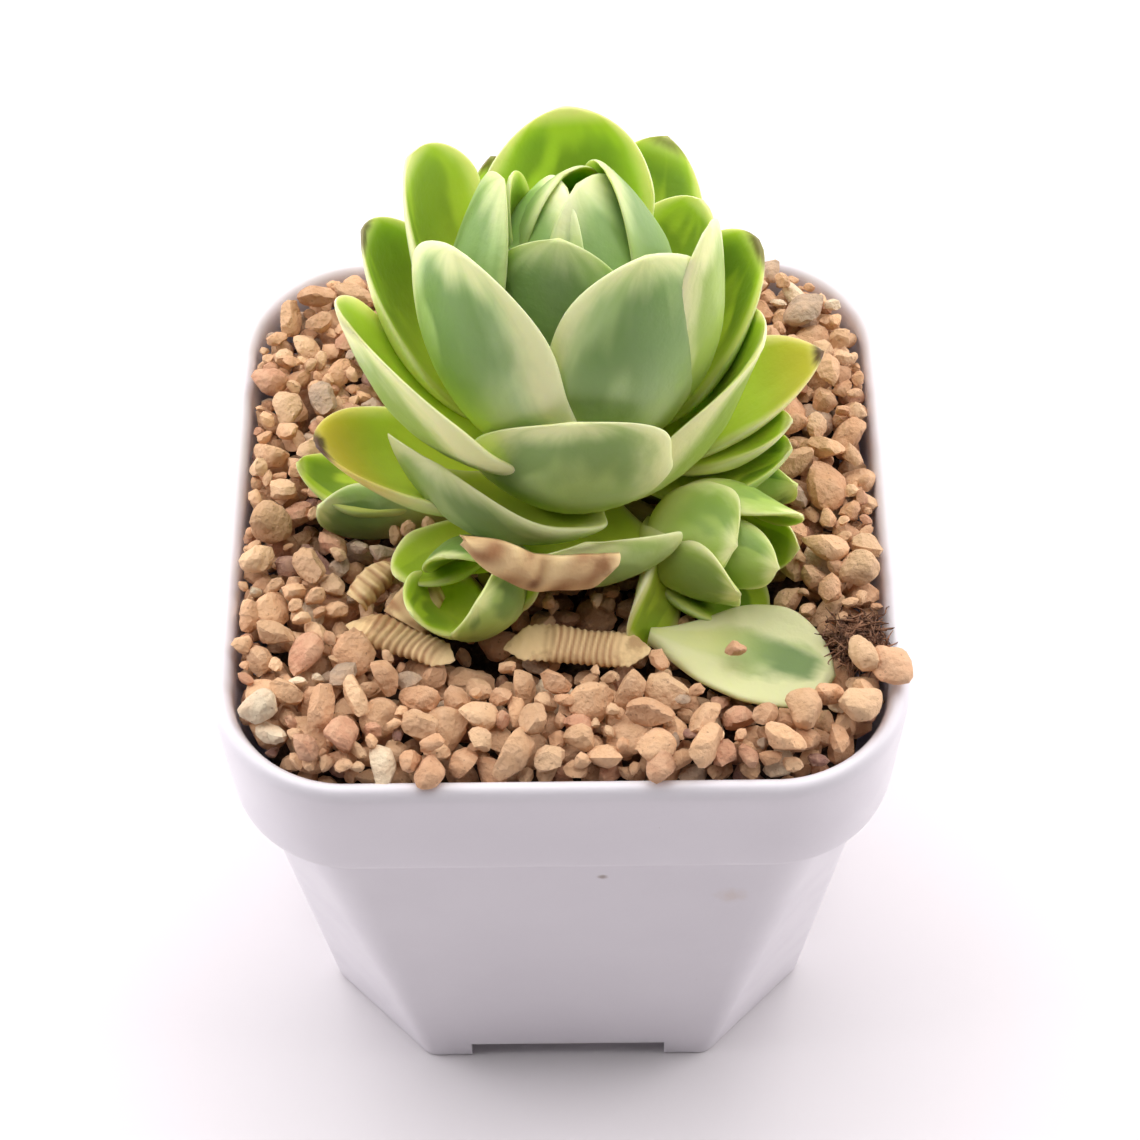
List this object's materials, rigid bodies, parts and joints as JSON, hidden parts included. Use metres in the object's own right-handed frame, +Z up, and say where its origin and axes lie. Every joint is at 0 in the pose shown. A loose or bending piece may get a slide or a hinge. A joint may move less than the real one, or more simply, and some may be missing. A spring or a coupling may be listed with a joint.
{
  "type": "potted succulent",
  "caption": "Variegated rosette succulent with offsets in a square white nursery pot topped with tan gravel.",
  "frame": {"origin": "centre of the pot's foot, on the surface it stands on", "axes": "+Z up the pot, -Y towards the front of the pot, where the low leaf with the dried tip points"},
  "size_m": [0.07, 0.07, 0.1102],
  "materials": {
    "pot_plastic": "satin moulded white",
    "soil": "dark crumbly potting soil",
    "gravel": "matt tan baked-clay gravel",
    "stem": "pale fleshy stem",
    "leaf": "waxy variegated green and cream",
    "dried_leaf": "papery, wrinkled"
  },
  "bodies": {
    "root": {"pot": "pot_plastic", "stem": "stem", "stem_of_front_right_offset": "stem", "stem_of_front_left_offset": "stem", "stem_of_right_offset": "stem", "stem_of_left_offset": "stem", "soil": "soil", "gravel_bed": "gravel", "heart_leaf_left": "leaf", "heart_leaf_right": "leaf", "hood_leaf_left": "leaf", "hood_leaf_right": "leaf", "bud_leaf_left": "leaf", "bud_leaf_back": "leaf", "bud_leaf_front": "leaf", "inner_leaf_front_left": "leaf", "inner_leaf_front_right": "leaf", "inner_leaf_back": "leaf", "inner_leaf_back_left": "leaf", "inner_leaf_right": "leaf", "inner_leaf_back_right": "leaf", "inner_leaf_behind": "leaf", "middle_leaf_left": "leaf", "middle_leaf_back_left": "leaf", "middle_leaf_back_right": "leaf", "middle_leaf_right_back": "leaf", "middle_leaf_front": "leaf", "middle_leaf_right": "leaf", "middle_leaf_front_left": "leaf", "outer_leaf_back_left": "leaf", "outer_leaf_back": "leaf", "outer_leaf_left": "leaf", "outer_leaf_right": "leaf", "outer_leaf_back_right": "leaf", "outer_leaf_front": "leaf", "outer_leaf_low_back": "leaf", "front_right_offset_leaf_1": "leaf", "front_right_offset_leaf_2": "leaf", "front_right_offset_leaf_3": "leaf", "front_right_offset_leaf_4": "leaf", "front_right_offset_leaf_5": "leaf", "front_right_offset_leaf_6": "leaf", "front_right_offset_leaf_7": "leaf", "front_left_offset_leaf_1": "leaf", "front_left_offset_leaf_2": "leaf", "front_left_offset_leaf_3": "leaf", "front_left_offset_leaf_4": "leaf", "right_offset_leaf_1": "leaf", "right_offset_leaf_2": "leaf", "right_offset_leaf_3": "leaf", "left_offset_leaf_1": "leaf", "left_offset_leaf_2": "leaf", "front_left_offset_leaf_5": "leaf", "fallen_leaf": "leaf", "dried_leaf_left": "dried_leaf", "dried_leaf_front": "dried_leaf", "dried_leaf_rolled": "dried_leaf", "stone_on_rim": "gravel", "stone_front_left": "gravel", "stone_front_right": "gravel"}
  },
  "joints": []
}
